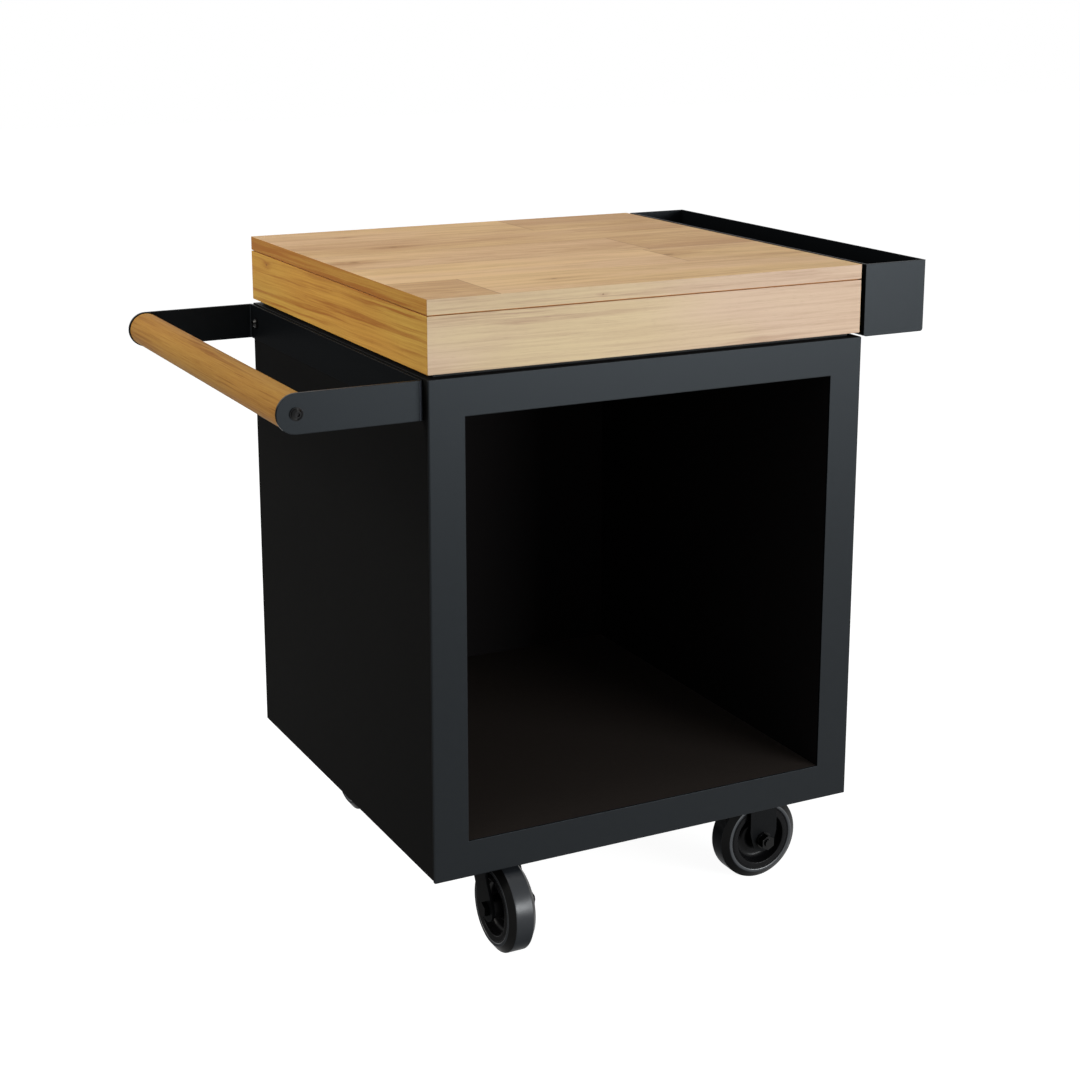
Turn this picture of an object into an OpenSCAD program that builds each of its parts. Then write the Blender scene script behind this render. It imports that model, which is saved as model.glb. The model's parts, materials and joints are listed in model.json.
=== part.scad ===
// Rolling prep table: a sheet-steel cabinet with one open storage compartment on two swivel and
// two rigid casters, a glued hardwood worktop, a planter along the right side and a push handle
// on the left. Heights count from the floor. Widths (X, to the right) and depths (Y, to the
// back) count from the cabinet's front left corner; place() then moves the origin to the middle
// of the whole table's footprint.

/* [Cabinet] */
// Width of the cabinet
cabinet_w = 650; // [600:1:800]
// Depth of the cabinet, front frame and back panel included
cabinet_d = 650; // [560:1:800]
// Height of the cabinet from the frame's lower edge to the deck
cabinet_h = 670; // [480:1:760]
// Width of the frame's border round the storage opening
frame_border = 50; // [44:1:80]
// Thickness of the front frame plate
frame_t = 3; // [2.5:0.5:5]
// Rounding of the front frame's outer edges and corners
frame_edge_r = 2; // [1:0.5:2.5]
// Thickness of the side panels, back panel and deck
panel_t = 2; // [1.5:0.5:2.5]
// Width of the side panels' folded flanges
flange_w = 20; // [16:1:26]
// Outer radius of the side panels' folds
panel_bend_r = 3; // [3:0.5:5]
// How far the side and back panels end above the frame's lower edge
panel_lift = 3; // [0:0.5:8]
// Thickness of the compartment's lining sheets
liner_t = 2; // [1:0.5:2.5]
// Air gap between the lining and the back panel
liner_air = 2; // [1:0.5:10]

/* [Rivets] */
// Shank diameter of the back panel's rivets
rivet_d = 4; // [3:0.5:5]
// Head diameter of the rivets
rivet_head_d = 8; // [7:0.5:10]
// Height of the rivet heads
rivet_head_h = 1.5; // [1:0.1:2]
// Rivets along each side of the back panel
rivets_per_side = 6; // [3:1:9]

/* [Base channels] */
// Width of the base channels over their walls
channel_w = 90; // [82:1:93]
// Thickness of the base channels
channel_t = 3; // [2:0.5:4]
// Width of the channels' lips under the lining
channel_lip = 12; // [8:1:14]
// Outer radius of the channels' folds
channel_bend_r = 5; // [4.5:0.5:6]

/* [Casters] */
// Wheel diameter
wheel_d = 125; // [120:1:150]
// Distance of the caster centres from the cabinet's sides
caster_inset_x = 114; // [90:1:150]
// Distance of the caster centres from the cabinet's front and back
caster_inset_y = 64; // [62:1:110]
// Offset between a swivel axis and its wheel's axle
trail = 39; // [34:0.5:44]
// How deep the casters' mounting plane sits above the frame's lower edge
mount_recess = 27; // [20:1:28]
// Length of the mounting plates
plate_l = 105; // [100:1:110]
// Width of the mounting plates
plate_w = 85; // [80:1:90]
// Thickness of the mounting plates
plate_t = 3; // [2.5:0.5:4]
// Corner radius of the mounting plates
plate_corner_r = 8; // [4:1:10]
// Bolt spacing along the mounting plates
bolt_span_l = 80; // [78:1:84]
// Bolt spacing across the mounting plates
bolt_span_w = 60; // [56:1:62]
// Diameter of the mounting bolts
mount_bolt_d = 8; // [6:1:8]
// Inner distance between a caster's legs
leg_gap = 46.6; // [46:0.1:50]
// Thickness of the pressed legs and fork crown
leg_t = 4; // [3:0.5:5]
// Outer radius of the folds between crown and legs
leg_bend_r = 8; // [6:0.5:9]
// Radius of the legs' rounded ends round the axle
leg_end_r = 18; // [15:0.5:20]
// Width of a rigid caster's legs
rigid_leg_w = 44; // [42:1:50]
// Height above the axle at which the rigid legs start to taper
rigid_taper = 12; // [8:1:30]
// Reach of a fork's legs at the crown, ahead of the swivel axis
fork_front = 22; // [16:1:26]
// Reach of a fork's legs at the crown, behind the swivel axis
fork_rear = 18; // [12:1:26]
// Diameter of the axle bolts
axle_d = 12; // [10:0.5:13]
// Width of the axle bolts' and kingpins' hexagons across the flats
axle_hex = 19; // [17:0.5:21]
// Height of the axle bolts' heads
axle_head_h = 7.5; // [6:0.5:9]
// Height of the axle nuts
axle_nut_h = 10.8; // [8:0.1:12]
// Thickness of the axle washers
axle_washer_t = 2.5; // [1.5:0.5:3]
// Length of thread that stands out of the axle nuts
axle_tail = 2.5; // [1:0.5:5]

/* [Swivel heads] */
// Gap between a wheel's tread and the fork crown above it
crown_clear = 5; // [3:0.5:8]
// Diameter of the swivel balls
ball_d = 6; // [5:0.5:7]
// Balls in each race
ball_count = 16; // [12:1:20]
// Pitch diameter of the ball races
race_d = 48; // [44:0.5:50]
// Outer diameter of the ball races and crowns
race_outer_d = 62; // [58:1:66]
// Inner diameter of the ball races
race_inner_d = 36; // [32:1:38]
// Height of the lower race on the fork crown
lower_race_h = 10; // [7:0.5:12]
// Height of the upper race under the mounting plate
upper_race_h = 6; // [5:0.5:9]
// Open gap between the two races
race_gap = 2; // [1:0.1:3]
// Diameter of the kingpin
kingpin_d = 12; // [10:0.5:14]
// Height of the kingpin's hexagon head under the crown
kingpin_head_h = 7; // [5:0.5:7]
// Diameter of the kingpin's flush head in the mounting plate
kingpin_top_d = 18; // [16:0.5:22]

/* [Wheels] */
// Width of the flat tread
tread_w = 25; // [15:0.5:32]
// Width of the tyre over its side faces
tyre_w = 41.2; // [38:0.2:43]
// Diameter at which the tyre's bevelled shoulders start
shoulder_d = 104.4; // [100:0.2:110]
// Diameter of the tyre's inner lip
tyre_lip_d = 96.8; // [96:0.2:98]
// Outer diameter of the wheel core
core_d = 95; // [90:0.5:95.5]
// Inner diameter of the core's rim
rim_inner_d = 76.6; // [70:0.2:84]
// Width of the core's rim
rim_w = 39.6; // [34:0.2:40]
// Thickness of the core's web
web_t = 9; // [6:0.5:14]
// Taper of the hub and rim towards the web
core_draft = 3; // [1:0.5:5]
// Diameter of the hub
hub_d = 30; // [27:0.5:36]
// Length of the hub
hub_l = 44.4; // [40:0.2:45]
// Outer diameter of the axle bush
bush_d = 20; // [17:0.5:22]

/* [Worktop] */
// Height of the shadow gap between deck and worktop
worktop_gap = 5.5; // [4:0.5:12]
// Height of the worktop from the aprons' lower edge to its surface
worktop_h = 94.5; // [84:0.5:110]
// Thickness of the glued board
board_t = 20; // [16:0.5:30]
// Thickness of the aprons
apron_t = 22; // [18:0.5:26]
// Height of the groove under the board's edge
groove_h = 1.4; // [1:0.1:3]
// Depth of the groove under the board's edge
groove_depth = 4; // [2:0.5:8]
// How far the worktop stays back from the cabinet's sides
worktop_side_set = 1.5; // [0:0.5:8]
// How far the worktop stays back from the cabinet's front
worktop_front_set = 3.5; // [0:0.5:10]
// How far the worktop reaches past the cabinet's back
worktop_rear = 5; // [0:0.5:10]
// End joint in the first row of staves, from the left
row_1_joint = 100; // [60:1:540]
// End joint in the second row
row_2_joint = 453; // [60:1:540]
// End joint in the third row
row_3_joint = 465; // [60:1:540]
// End joint in the fifth row
row_5_joint = 410; // [60:1:540]
// Side of the square corner blocks
block_w = 40; // [30:1:50]
// Width of the spacer strips
spacer_w = 50; // [46:1:56]
// Distance of the spacer strips from the aprons' outer faces
spacer_inset = 12; // [8:1:18]
// Shank diameter of the worktop screws
wood_screw_d = 5; // [4:0.5:6]
// Depth of the worktop screws in the corner blocks
wood_screw_grip = 30; // [20:1:40]
// Head diameter of the worktop screws
wood_screw_head_d = 12; // [9:0.5:14]
// Head height of the worktop screws
wood_screw_head_h = 3; // [2:0.5:5]

/* [Planter] */
// Outer width of the planter
planter_w = 100; // [80:1:140]
// Thickness of the planter's sheet
planter_t = 2; // [1.5:0.5:3]
// Outer radius of the planter's lower edges
planter_bend_r = 4; // [3.5:0.5:10]
// Gap between the planter and the worktop
planter_gap = 4.5; // [4:0.5:12]
// Distance of the planter's bolts from its ends
planter_bolt_inset = 90; // [80:1:200]
// Height between the planter's upper and lower bolts
planter_bolt_span = 36; // [30:1:42]
// Diameter of the stand-off spacers
standoff_d = 20; // [17:0.5:26]
// Drain holes in the planter's floor
drain_count = 5; // [3:1:8]
// Diameter of the drain holes
drain_d = 8; // [5:0.5:12]

/* [Handle] */
// Distance of the bar's axis from the cabinet's side
handle_reach = 166.3; // [120:0.1:200]
// Diameter of the wooden bar
bar_d = 48; // [40:0.5:49]
// Height of the bracket's strip
strip_h = 51; // [50:0.5:60]
// Thickness of the bracket's strip
strip_t = 4; // [3:0.5:5]
// Outer radius of the strip's folds
strip_bend_r = 5.5; // [5.5:0.5:10]
// How far the bracket's upper edge lies below the deck
handle_drop = 1.8; // [1:0.1:60]
// How far the near arm stays back from the cabinet's front
handle_front_set = 13; // [8:0.5:40]
// How far the far arm reaches past the cabinet's back
handle_rear = 5; // [0:0.5:8]
// Distance of the bracket's wall screws from its arms
wall_screw_inset = 24; // [20:0.5:60]

/* [Button-head screws] */
// Thread diameter of the handle screws and planter bolts
button_d = 8; // [6:0.5:8]
// Head diameter
button_head_d = 14; // [13:0.5:15]
// Head height
button_head_h = 4.4; // [4:0.1:5]
// Hexagon socket across the flats
button_socket = 5; // [4:0.5:6]
// Washer diameter
button_washer_d = 17; // [16:0.5:18]
// Washer thickness
button_washer_t = 1.6; // [1:0.1:2]
// Depth of the handle screws in the bar
bar_screw_grip = 36; // [25:1:60]

/* [Fits] */
// Radial gap of a running fit
running_fit = 0.05; // [0.02:0.01:0.1]
// Radial gap of a seated ball, core or screw
seat_fit = 0.05; // [0.02:0.01:0.1]
// Radial gap of the balls to the upper race
race_clear = 0.3; // [0.2:0.05:0.5]
// Radial gap of a bolt in its hole
bolt_clear = 0.5; // [0.3:0.1:1]
// Gap between the kingpin's head and the crown
thrust_gap = 0.2; // [0.1:0.05:0.5]

/* [Hidden] */
$fn = 64;

// Cuts run this far past the faces they open
past = 1;

frame_grey = [0.24, 0.26, 0.29];
panel_black = [0.1, 0.1, 0.11];
wood_pale = [0.85, 0.7, 0.5];
wood_gold = [0.78, 0.58, 0.36];
hardware_black = [0.12, 0.12, 0.13];
bearing_steel = [0.62, 0.63, 0.65];
core_black = [0.12, 0.12, 0.13];
tyre_grey = [0.25, 0.25, 0.26];

// Heights of the casters, from the wheels up
axle_z = wheel_d / 2;
crown_low = wheel_d + crown_clear;
crown_top = crown_low + leg_t;
lower_race_top = crown_top + lower_race_h;
ball_z = lower_race_top + race_gap / 2;
upper_race_low = lower_race_top + race_gap;
plate_low = upper_race_low + upper_race_h;
caster_h = plate_low + plate_t;

// Heights of the cabinet and worktop
cabinet_low = caster_h - mount_recess;
cabinet_top = cabinet_low + cabinet_h;
panel_low = cabinet_low + panel_lift;
deck_low = cabinet_top - panel_t;
apron_low = cabinet_top + worktop_gap;
worktop_top = apron_low + worktop_h;
board_low = worktop_top - board_t;

// The storage opening and the lining behind it
open_left = frame_border;
open_right = cabinet_w - frame_border;
open_low = cabinet_low + frame_border;
open_high = cabinet_top - frame_border;
back_face = cabinet_d - panel_t;
liner_end = back_face - liner_air - liner_t;

// The worktop's outline
worktop_left = worktop_side_set;
worktop_right = cabinet_w - worktop_side_set;
worktop_front = worktop_front_set;
worktop_back = cabinet_d + worktop_rear;
worktop_w = worktop_right - worktop_left;
worktop_d = worktop_back - worktop_front;
row_joints = [[row_1_joint], [row_2_joint], [row_3_joint], [], [row_5_joint]];
row_w = worktop_d / len(row_joints);
block_middle = apron_t + block_w / 2;

// The planter stands on the deck's level and ends level with the worktop
planter_left = worktop_right + planter_gap;
planter_h = worktop_top - cabinet_top;
apron_inside = worktop_right - apron_t;
apron_middle = (apron_low + board_low) / 2;

// The handle
bar_z = cabinet_top - handle_drop - strip_h / 2;
handle_front = handle_front_set;
handle_back = cabinet_d + handle_rear;
wall_screw_places = [handle_front + strip_t + wall_screw_inset,
                     handle_back - strip_t - wall_screw_inset];

// Hexagon nuts of the mounting bolts, planter bolts and wall screws
nut_hex = 13;
nut_h = 6.5;
bolt_head_h = 5.3;
bolt_tail = 2;

// The axle's parts outside the legs
leg_outside = leg_gap / 2 + leg_t;
nut_start = leg_outside + axle_washer_t;
axle_end = nut_start + axle_nut_h + axle_tail;

// Middle of the footprint, from the outermost points of handle, planter, wheels and worktop
left_most = -handle_reach - strip_h / 2;
right_most = planter_left + planter_w;
front_most = min(0, caster_inset_y - trail - wheel_d / 2);
back_most = max(worktop_back, handle_back + button_washer_t + button_head_h);
mid_x = (left_most + right_most) / 2;
mid_y = (front_most + back_most) / 2;

// Radius of a hexagon across its corners
function hex_r(across) = across / sqrt(3);

// Point where a line from p touches the circle of radius r about c; side is 1 or -1
function touch(p, c, r, side) =
    let (way = c - p,
         turn = atan2(way[1], way[0]) + side * asin(r / norm(way)),
         run = sqrt(way * way - r * r))
    p + run * [cos(turn), sin(turn)];

module place() {
    translate([-mid_x, -mid_y, 0]) children();
}

// Block between two opposite corners
module block(low, high) {
    translate(low) cube(high - low);
}

// Flat outline pushed along X or along Y from 0 to a length; its height becomes Z
module along_x(length) {
    rotate([90, 0, 90]) linear_extrude(length) children();
}

module along_y(length) {
    translate([0, length, 0]) rotate([90, 0, 0]) linear_extrude(length) children();
}

// Rectangle from the origin with the listed corners rounded, counted round from the origin
module soft_rect(w, h, r, corners = [0, 1, 2, 3]) {
    points = [[0, 0], [w, 0], [w, h], [0, h]];
    inward = [[1, 1], [-1, 1], [-1, -1], [1, -1]];
    difference() {
        square([w, h]);
        for (i = corners) {
            translate(points[i] + r * inward[i]) difference() {
                translate([inward[i][0] > 0 ? -r - past : 0, inward[i][1] > 0 ? -r - past : 0])
                    square(r + past);
                circle(r);
            }
        }
    }
}

// Round pin or hole along X, Y or Z from a starting point
module pin_x(from, length, d) {
    translate(from) rotate([0, 90, 0]) cylinder(h = length, d = d);
}

module pin_y(from, length, d) {
    translate(from) rotate([-90, 0, 0]) cylinder(h = length, d = d);
}

module pin_z(from, length, d) {
    translate(from) cylinder(h = length, d = d);
}

// Hexagon nut from z = 0 up, with its bore
module hex_nut(across, height, bore_d) {
    difference() {
        cylinder(h = height, r = hex_r(across), $fn = 6);
        translate([0, 0, -past]) cylinder(h = height + 2 * past, d = bore_d);
    }
}

// Button-head screw that points down from z = 0, with its washer above z = 0
module button_screw(length) {
    rim_h = button_head_h / 3;
    difference() {
        union() {
            translate([0, 0, -length]) cylinder(h = length + button_washer_t, d = button_d);
            translate([0, 0, button_washer_t]) cylinder(h = rim_h, d = button_head_d);
            translate([0, 0, button_washer_t + rim_h])
                cylinder(h = button_head_h - rim_h, d1 = button_head_d, d2 = button_head_d * 0.6);
        }
        translate([0, 0, button_washer_t + button_head_h / 2])
            cylinder(h = button_head_h, r = hex_r(button_socket), $fn = 6);
    }
}

module button_washer() {
    difference() {
        cylinder(h = button_washer_t, d = button_washer_d);
        translate([0, 0, -past])
            cylinder(h = button_washer_t + 2 * past, r = button_d / 2 + seat_fit);
    }
}

// Cabinet

module front_frame() {
    color(frame_grey) difference() {
        intersection() {
            translate([0, 0, cabinet_low]) linear_extrude(cabinet_h)
                soft_rect(cabinet_w, frame_t, frame_edge_r, [0, 1]);
            translate([0, 0, cabinet_low]) along_y(frame_t)
                soft_rect(cabinet_w, cabinet_h, frame_edge_r);
        }
        block([open_left, -past, open_low], [open_right, frame_t + past, open_high]);
    }
}

// Tray folded from one sheet, open towards the compartment
module side_panel() {
    tray_l = cabinet_d - frame_t - panel_t;
    tray_h = deck_low - panel_low;
    translate([0, frame_t, panel_low]) {
        linear_extrude(tray_h) difference() {
            soft_rect(flange_w, tray_l, panel_bend_r, [0, 3]);
            translate([panel_t, panel_t])
                soft_rect(flange_w, tray_l - 2 * panel_t, panel_bend_r - panel_t + 0.01, [0, 3]);
        }
        for (z = [0, tray_h - panel_t]) {
            translate([panel_t / 2, panel_bend_r, z])
                cube([flange_w - panel_t / 2, tray_l - 2 * panel_bend_r, panel_t]);
        }
    }
}

module left_side_panel() {
    color(panel_black) difference() {
        side_panel();
        for (y = wall_screw_places) {
            pin_x([-past, y, bar_z], panel_t + 2 * past, button_d + 2 * bolt_clear);
        }
    }
}

module right_side_panel() {
    color(panel_black) translate([cabinet_w, 0, 0]) mirror([1, 0, 0]) side_panel();
}

module at_rivets() {
    first = panel_low + flange_w + rivet_head_d;
    last = deck_low - flange_w - rivet_head_d;
    for (x = [flange_w / 2 + panel_t, cabinet_w - flange_w / 2 - panel_t]) {
        for (i = [0 : rivets_per_side - 1]) {
            translate([x, back_face, first + i * (last - first) / (rivets_per_side - 1)])
                children();
        }
    }
}

module back_panel() {
    color(panel_black) difference() {
        block([0, back_face, panel_low], [cabinet_w, cabinet_d, cabinet_top]);
        at_rivets() pin_y([0, -past, 0], panel_t + 2 * past, rivet_d + 2 * seat_fit);
    }
}

module back_panel_rivets() {
    color(panel_black) at_rivets() {
        pin_y([0, 0, 0], panel_t, rivet_d);
        translate([0, panel_t, 0]) rotate([-90, 0, 0])
            cylinder(h = rivet_head_h, d1 = rivet_head_d, d2 = rivet_head_d / 2);
    }
}

module top_deck() {
    color(panel_black) difference() {
        block([0, frame_t, deck_low], [cabinet_w, back_face, cabinet_top]);
        at_blocks() pin_z([0, 0, deck_low - past], panel_t + 2 * past,
                          wood_screw_d + 2 * bolt_clear);
    }
}

module liner_left() {
    color(panel_black)
        block([open_left - liner_t, frame_t, open_low - liner_t],
              [open_left, liner_end, open_high]);
}

module liner_right() {
    color(panel_black)
        block([open_right, frame_t, open_low - liner_t],
              [open_right + liner_t, liner_end, open_high]);
}

module liner_floor() {
    color(panel_black)
        block([open_left, frame_t, open_low - liner_t], [open_right, liner_end, open_low]);
}

module liner_ceiling() {
    color(panel_black)
        block([open_left - liner_t, frame_t, open_high],
              [open_right + liner_t, liner_end, open_high + liner_t]);
}

module liner_back() {
    color(panel_black)
        block([open_left - liner_t, liner_end, open_low - liner_t],
              [open_right + liner_t, liner_end + liner_t, open_high + liner_t]);
}

// Hat-shaped channel between the side panels, its lips under the compartment's floor
module base_channel(middle_y) {
    channel_h = open_low - liner_t - caster_h;
    color(panel_black) difference() {
        translate([panel_t, middle_y - channel_w / 2, caster_h])
            along_x(cabinet_w - 2 * panel_t) {
                difference() {
                    soft_rect(channel_w, channel_h, channel_bend_r, [0, 1]);
                    translate([channel_t, channel_t])
                        soft_rect(channel_w - 2 * channel_t, channel_h,
                                  channel_bend_r - channel_t, [0, 1]);
                }
                translate([-channel_lip, channel_h - channel_t])
                    square([channel_lip + channel_t, channel_t]);
                translate([channel_w - channel_t, channel_h - channel_t])
                    square([channel_lip + channel_t, channel_t]);
            }
        for (x = [caster_inset_x, cabinet_w - caster_inset_x]) {
            translate([x, middle_y, 0]) at_plate_bolts()
                pin_z([0, 0, caster_h - past], channel_t + 2 * past,
                      mount_bolt_d + 2 * bolt_clear);
        }
    }
}

// Worktop

// Glued staves of one row, end to end
module board_row(number) {
    ends = concat([0], row_joints[number - 1], [worktop_w]);
    for (i = [0 : len(ends) - 2]) {
        color(i == 0 ? wood_pale : wood_gold)
            translate([worktop_left + ends[i], worktop_front + (number - 1) * row_w, board_low])
                cube([ends[i + 1] - ends[i], row_w, board_t]);
    }
}

// Apron along X with its outer face at y = 0, mitred at both ends, grooved under the board
module apron(length) {
    translate([0, 0, apron_low]) linear_extrude(board_low - groove_h - apron_low)
        polygon([[0, 0], [length, 0], [length - apron_t, apron_t], [apron_t, apron_t]]);
    translate([0, 0, board_low - groove_h]) linear_extrude(groove_h)
        polygon([[groove_depth, groove_depth], [length - groove_depth, groove_depth],
                 [length - apron_t, apron_t], [apron_t, apron_t]]);
}

module front_apron() {
    color(wood_pale) translate([worktop_left, worktop_front, 0]) apron(worktop_w);
}

module rear_apron() {
    color(wood_pale) translate([worktop_right, worktop_back, 0]) rotate(180) apron(worktop_w);
}

module left_apron() {
    color(wood_gold) translate([worktop_left, worktop_back, 0]) rotate(-90) apron(worktop_d);
}

module at_planter_bolts() {
    for (y = [planter_bolt_inset, cabinet_d - planter_bolt_inset]) {
        for (side = [-1, 1]) {
            translate([0, y, apron_middle + side * planter_bolt_span / 2]) children();
        }
    }
}

module right_apron() {
    color(wood_gold) difference() {
        translate([worktop_right, worktop_front, 0]) rotate(90) apron(worktop_d);
        at_planter_bolts() pin_x([apron_inside - past, 0, 0], apron_t + 2 * past,
                                 button_d + 2 * bolt_clear);
    }
}

module at_blocks() {
    for (x = [worktop_left + block_middle, worktop_right - block_middle]) {
        for (y = [worktop_front + block_middle, worktop_back - block_middle]) {
            translate([x, y, 0]) children();
        }
    }
}

module corner_blocks() {
    color(wood_gold) at_blocks() difference() {
        block([-block_w / 2, -block_w / 2, apron_low], [block_w / 2, block_w / 2, board_low]);
        pin_z([0, 0, apron_low - past], wood_screw_grip + 2 * past,
              wood_screw_d + 2 * seat_fit);
    }
}

module worktop_spacers() {
    strip_l = worktop_w - 2 * spacer_inset;
    short_l = worktop_d - 2 * spacer_inset - 2 * spacer_w;
    color(panel_black) difference() {
        translate([worktop_left + spacer_inset, worktop_front + spacer_inset, cabinet_top]) {
            for (y = [0, spacer_w + short_l]) {
                translate([0, y, 0]) cube([strip_l, spacer_w, worktop_gap]);
            }
            for (x = [0, strip_l - spacer_w]) {
                translate([x, spacer_w, 0]) cube([spacer_w, short_l, worktop_gap]);
            }
        }
        at_blocks() pin_z([0, 0, cabinet_top - past], worktop_gap + 2 * past,
                          wood_screw_d + 2 * bolt_clear);
    }
}

module worktop_screws() {
    color(hardware_black) at_blocks() {
        pin_z([0, 0, deck_low - wood_screw_head_h], wood_screw_head_h, wood_screw_head_d);
        pin_z([0, 0, deck_low], panel_t + worktop_gap + wood_screw_grip, wood_screw_d);
    }
}

// Planter

// Cross-section of the planter over all
module planter_section() {
    soft_rect(planter_w, planter_h, planter_bend_r, [0, 1]);
}

module planter_trough() {
    trough_l = cabinet_d - 2 * planter_t;
    color(frame_grey) difference() {
        translate([planter_left, planter_t, cabinet_top]) along_y(trough_l) difference() {
            planter_section();
            translate([planter_t, planter_t])
                soft_rect(planter_w - 2 * planter_t, planter_h, planter_bend_r - planter_t,
                          [0, 1]);
        }
        at_planter_bolts() pin_x([planter_left - past, 0, 0], planter_t + 2 * past,
                                 button_d + 2 * bolt_clear);
        for (i = [1 : drain_count]) {
            pin_z([planter_left + planter_w / 2, i * cabinet_d / (drain_count + 1),
                   cabinet_top - past], planter_t + 2 * past, drain_d);
        }
    }
}

module planter_end() {
    along_y(planter_t) planter_section();
}

module planter_front_plate() {
    color(frame_grey) translate([planter_left, 0, cabinet_top]) planter_end();
}

module planter_rear_plate() {
    color(frame_grey) translate([planter_left, cabinet_d - planter_t, cabinet_top])
        planter_end();
}

// Bolts from inside the trough through the stand-offs into nuts behind the right apron
module planter_fixings() {
    bolt_l = planter_left + planter_t - apron_inside + nut_h + bolt_tail;
    color(hardware_black) at_planter_bolts() {
        translate([planter_left + planter_t, 0, 0]) rotate([0, 90, 0]) {
            button_screw(bolt_l);
            button_washer();
        }
        difference() {
            pin_x([worktop_right, 0, 0], planter_gap, standoff_d);
            pin_x([worktop_right - past, 0, 0], planter_gap + 2 * past,
                  button_d + 2 * bolt_clear);
        }
        translate([apron_inside - nut_h, 0, 0]) rotate([0, 90, 0])
            hex_nut(nut_hex, nut_h, button_d + 2 * seat_fit);
    }
}

// Handle

// One strip folded into two arms and the plate between them, with round arm ends
module handle_bracket() {
    strip_low = bar_z - strip_h / 2;
    bracket_l = handle_back - handle_front;
    color(frame_grey) difference() {
        union() {
            translate([-handle_reach, handle_front, strip_low]) linear_extrude(strip_h)
                difference() {
                    soft_rect(handle_reach, bracket_l, strip_bend_r, [1, 2]);
                    translate([-past, strip_t])
                        soft_rect(handle_reach + past - strip_t, bracket_l - 2 * strip_t,
                                  strip_bend_r - strip_t, [1, 2]);
                }
            for (y = [handle_front, handle_back - strip_t]) {
                pin_y([-handle_reach, y, bar_z], strip_t, strip_h);
            }
        }
        for (y = [handle_front, handle_back - strip_t]) {
            pin_y([-handle_reach, y - past, bar_z], strip_t + 2 * past,
                  button_d + 2 * bolt_clear);
        }
        for (y = wall_screw_places) {
            pin_x([-strip_t - past, y, bar_z], strip_t + 2 * past, button_d + 2 * bolt_clear);
        }
    }
}

module handle_bar() {
    bar_l = handle_back - handle_front - 2 * strip_t;
    hole_l = bar_screw_grip + past;
    color(wood_gold) translate([-handle_reach, handle_front + strip_t, bar_z]) difference() {
        pin_y([0, 0, 0], bar_l, bar_d);
        pin_y([0, -past, 0], hole_l + past, button_d + 2 * seat_fit);
        pin_y([0, bar_l - hole_l, 0], hole_l + past, button_d + 2 * seat_fit);
    }
}

module handle_screws() {
    wall_screw_l = strip_t + panel_t + nut_h + bolt_tail;
    color(hardware_black) {
        translate([-handle_reach, handle_front, bar_z]) rotate([90, 0, 0]) {
            button_screw(strip_t + bar_screw_grip);
            button_washer();
        }
        translate([-handle_reach, handle_back, bar_z]) rotate([-90, 0, 0]) {
            button_screw(strip_t + bar_screw_grip);
            button_washer();
        }
        for (y = wall_screw_places) {
            translate([-strip_t, y, bar_z]) rotate([0, -90, 0]) {
                button_screw(wall_screw_l);
                button_washer();
            }
            translate([panel_t, y, bar_z]) rotate([0, 90, 0])
                hex_nut(nut_hex, nut_h, button_d + 2 * seat_fit);
        }
    }
}

// Casters. A wheel rolls along Y with its axle along X; the origin is on the floor under the
// swivel axis or, on a rigid caster, under the axle.

module at_front_left() {
    translate([caster_inset_x, caster_inset_y, 0]) children();
}

module at_back_left() {
    translate([caster_inset_x, cabinet_d - caster_inset_y, 0]) children();
}

module at_front_right() {
    translate([cabinet_w - caster_inset_x, caster_inset_y, 0]) children();
}

module at_back_right() {
    translate([cabinet_w - caster_inset_x, cabinet_d - caster_inset_y, 0]) children();
}

// A swivel caster's wheel runs ahead of its swivel axis; a rigid one is turned to roll along X
module trailed() {
    translate([0, -trail, 0]) children();
}

module turned() {
    rotate(-90) children();
}

module at_plate_bolts() {
    for (x = [-1, 1] * bolt_span_l / 2) {
        for (y = [-1, 1] * bolt_span_w / 2) {
            translate([x, y, 0]) children();
        }
    }
}

module mounting_plate() {
    difference() {
        translate([-plate_l / 2, -plate_w / 2, plate_low]) linear_extrude(plate_t)
            soft_rect(plate_l, plate_w, plate_corner_r);
        at_plate_bolts() pin_z([0, 0, plate_low - past], plate_t + 2 * past,
                               mount_bolt_d + 2 * bolt_clear);
    }
}

module race_groove(clearance) {
    translate([0, 0, ball_z]) rotate_extrude() translate([race_d / 2, 0])
        circle(r = ball_d / 2 + clearance);
}

module kingpin_shape(clearance) {
    cylinder(h = caster_h, r = kingpin_d / 2 + clearance);
    translate([0, 0, plate_low])
        cylinder(h = plate_t + clearance, r1 = kingpin_d / 2 + clearance,
                 r2 = kingpin_top_d / 2 + clearance);
}

module swivel_top_plate() {
    color(hardware_black) difference() {
        union() {
            mounting_plate();
            translate([0, 0, upper_race_low]) cylinder(h = upper_race_h, d = race_outer_d);
        }
        translate([0, 0, upper_race_low - past])
            cylinder(h = upper_race_h + past, d = race_inner_d);
        race_groove(race_clear);
        kingpin_shape(seat_fit);
    }
}

module kingpin() {
    head_top = crown_low - thrust_gap;
    color(hardware_black) {
        translate([0, 0, head_top - kingpin_head_h])
            cylinder(h = kingpin_head_h, r = hex_r(axle_hex), $fn = 6);
        intersection() {
            kingpin_shape(0);
            translate([0, 0, head_top - past])
                cylinder(h = caster_h - head_top + past, d = kingpin_top_d);
        }
    }
}

module race_balls() {
    color(bearing_steel) for (i = [0 : ball_count - 1]) {
        rotate(i * 360 / ball_count) translate([race_d / 2, 0, ball_z]) sphere(d = ball_d);
    }
}

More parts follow.
